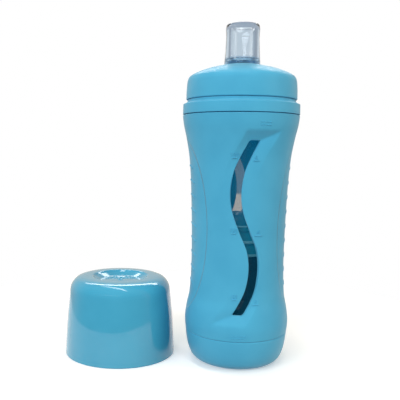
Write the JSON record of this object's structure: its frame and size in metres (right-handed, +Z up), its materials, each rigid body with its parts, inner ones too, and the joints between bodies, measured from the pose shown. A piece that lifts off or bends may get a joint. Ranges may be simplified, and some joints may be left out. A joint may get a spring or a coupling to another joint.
{
  "type": "spouted drinking bottle",
  "caption": "Spouted bottle: glass tube with sliding platform in a waisted casing with S-shaped windows, domed screw collar, screw base, overcap beside it.",
  "frame": {"origin": "centre of the bottle's flat foot, on the surface it stands on", "axes": "+Z up along the bottle's axis; the front window faces -Y; the overcap stands on the -X side"},
  "size_m": [0.1471, 0.0835, 0.2095],
  "materials": {
    "casing": "satin moulded, pearl blue",
    "overcap": "polished, blue",
    "glass_tube": "clear borosilicate",
    "spout": "clear silicone",
    "tube_seals": "matte, teal silicone",
    "platform_core": "matte, dark teal",
    "platform_lips": "matte, teal silicone"
  },
  "bodies": {
    "bottle": {"casing": "casing", "glass_tube": "glass_tube"},
    "platform": {"platform_core": "platform_core", "platform_upper_lip": "platform_lips", "platform_lower_lip": "platform_lips"},
    "upper_seal": {"upper_tube_seal": "tube_seals"},
    "neck_ring": {"neck_ring": "casing"},
    "spout": {"spout": "spout", "spout_valve": "spout"},
    "collar": {"collar": "casing"},
    "lower_seal": {"lower_tube_seal": "tube_seals"},
    "base_cup": {"base_cup": "casing"},
    "overcap": {"overcap": "overcap"}
  },
  "joints": [
    {"name": "platform_slide", "type": "slide", "parent": "bottle", "child": "platform", "axis": [0, 0, 1], "range_m": [-0.0605, 0.062]},
    {"name": "neck_ring_lift", "type": "slide", "parent": "bottle", "child": "upper_seal", "axis": [0, 0, 1], "range_m": [0, 0.00634]},
    {"name": "neck_ring_turn", "type": "hinge", "parent": "upper_seal", "child": "neck_ring", "pos_m": [0, 0, 0.155], "axis": [0, 0, 1], "range_deg": [0, 380]},
    {"name": "collar_lift", "type": "slide", "parent": "neck_ring", "child": "spout", "axis": [0, 0, 1], "range_m": [0, 0.00634]},
    {"name": "collar_turn", "type": "hinge", "parent": "spout", "child": "collar", "pos_m": [0, 0, 0.17], "axis": [0, 0, 1], "range_deg": [0, 380]},
    {"name": "base_drop", "type": "slide", "parent": "bottle", "child": "lower_seal", "axis": [0, 0, -1], "range_m": [0, 0.00634]},
    {"name": "base_turn", "type": "hinge", "parent": "lower_seal", "child": "base_cup", "pos_m": [0, 0, 0.01], "axis": [0, 0, -1], "range_deg": [0, 380]},
    {"name": "overcap_lift", "type": "slide", "parent": "bottle", "child": "overcap", "axis": [0, 0, 1], "range_m": [0, 0.22]}
  ],
  "couplings": [
    {"joint": "neck_ring_lift", "follows": "neck_ring_turn", "m_per_rad": 0.00095493},
    {"joint": "collar_lift", "follows": "collar_turn", "m_per_rad": 0.00095493},
    {"joint": "base_drop", "follows": "base_turn", "m_per_rad": 0.00095493}
  ]
}
